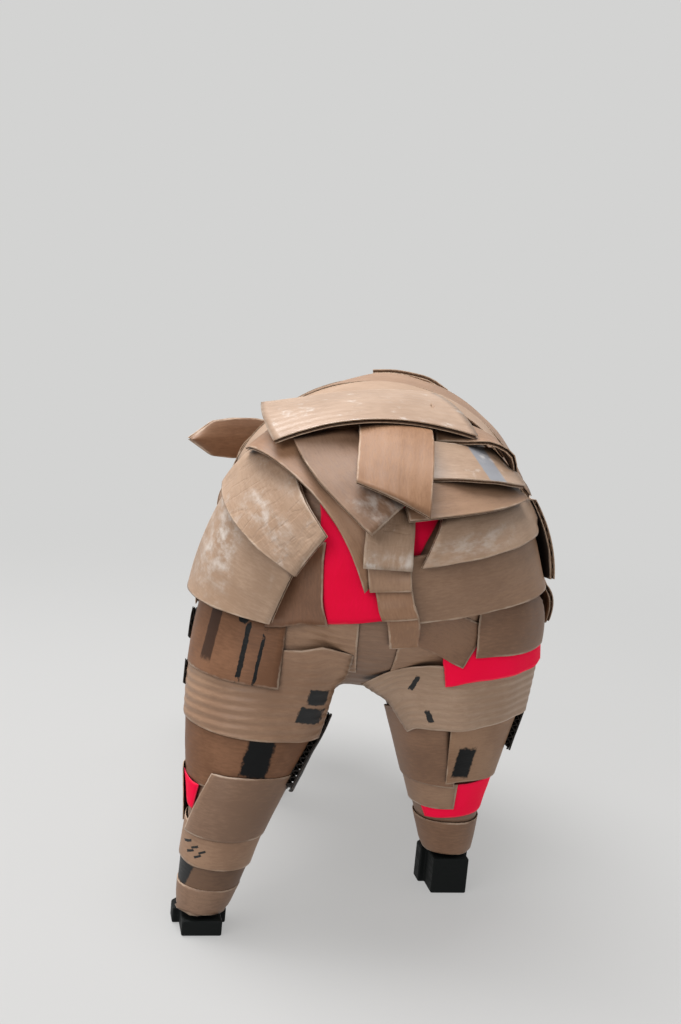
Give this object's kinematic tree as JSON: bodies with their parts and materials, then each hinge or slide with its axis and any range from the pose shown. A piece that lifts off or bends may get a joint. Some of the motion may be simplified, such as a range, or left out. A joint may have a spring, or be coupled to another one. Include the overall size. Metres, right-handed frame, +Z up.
{
  "type": "cardboard pig sculpture",
  "caption": "Walking pig sculpture built up from overlapping strips of brown corrugated cardboard, with neon red card patches, a short strip tail, pointed ears and black hooves.",
  "frame": {"origin": "on the floor, below the middle of the model's box", "axes": "+Z up, +Y the way the pig walks, +X its right side"},
  "size_m": [0.2158, 0.3576, 0.2746],
  "materials": {
    "under_board": "matte",
    "kraft_board": "matte",
    "thin_card": "matte",
    "edge_board": "matte",
    "red_card": "matte",
    "black_hoof": "matte black paint"
  },
  "bodies": {
    "root": {"body": "under_board", "hoof_hind_left": "black_hoof", "hoof_hind_right": "black_hoof", "hoof_front_left": "black_hoof", "hoof_front_right": "black_hoof", "shin_left_low_band": "thin_card", "cuff_left_hind": "thin_card", "shin_left_marked_band": "thin_card", "knee_left_printed_band": "thin_card", "red_patch_left_knee": "red_card", "knee_left_lower_band": "thin_card", "knee_left_edge_strip": "edge_board", "thigh_left_ribbed_sheet": "thin_card", "thigh_left_printed_panel": "thin_card", "cuff_right_hind": "thin_card", "red_band_right_hock": "red_card", "hock_right_light_band": "thin_card", "shin_right_inner_panel": "thin_card", "shin_right_printed_panel": "thin_card", "thigh_right_edge_strip": "edge_board", "thigh_right_ribbed_sheet": "thin_card", "red_band_right_thigh": "red_card", "hip_right_dark_strip": "thin_card", "hip_right_panel": "thin_card", "red_sheet_rump": "red_card", "rump_left_inner_panel": "thin_card", "flank_left_low_strip": "kraft_board", "rump_left_lower_strip": "kraft_board", "rump_left_scuffed_strip": "kraft_board", "rump_right_lower_strip": "kraft_board", "rump_right_middle_strip": "kraft_board", "flank_right_low_strip": "kraft_board", "flank_right_high_strip": "kraft_board", "rump_left_diagonal_strip": "kraft_board", "rump_right_upper_strip": "kraft_board", "tail_head_diagonal_strip": "kraft_board", "rump_right_taped_strip": "kraft_board", "shoulder_right_back_strip": "kraft_board", "belly_strip": "kraft_board", "shoulder_left_strip": "kraft_board", "shoulder_right_strip": "kraft_board", "leg_wrap_front_left": "thin_card", "leg_wrap_front_right": "thin_card", "snout_band": "thin_card", "forehead_strip": "kraft_board", "neck_hoop": "kraft_board", "back_hoop_front": "kraft_board", "back_hoop_middle": "kraft_board", "back_hoop_rear": "kraft_board", "withers_strip": "kraft_board", "tail_head_patch": "kraft_board", "saddle_strip": "kraft_board", "tail_piece_1": "thin_card", "tail_piece_2": "thin_card", "tail_piece_3": "thin_card", "tail_piece_4": "thin_card", "ear_left": "kraft_board", "ear_right": "kraft_board", "snout_disc": "kraft_board"}
  },
  "joints": []
}
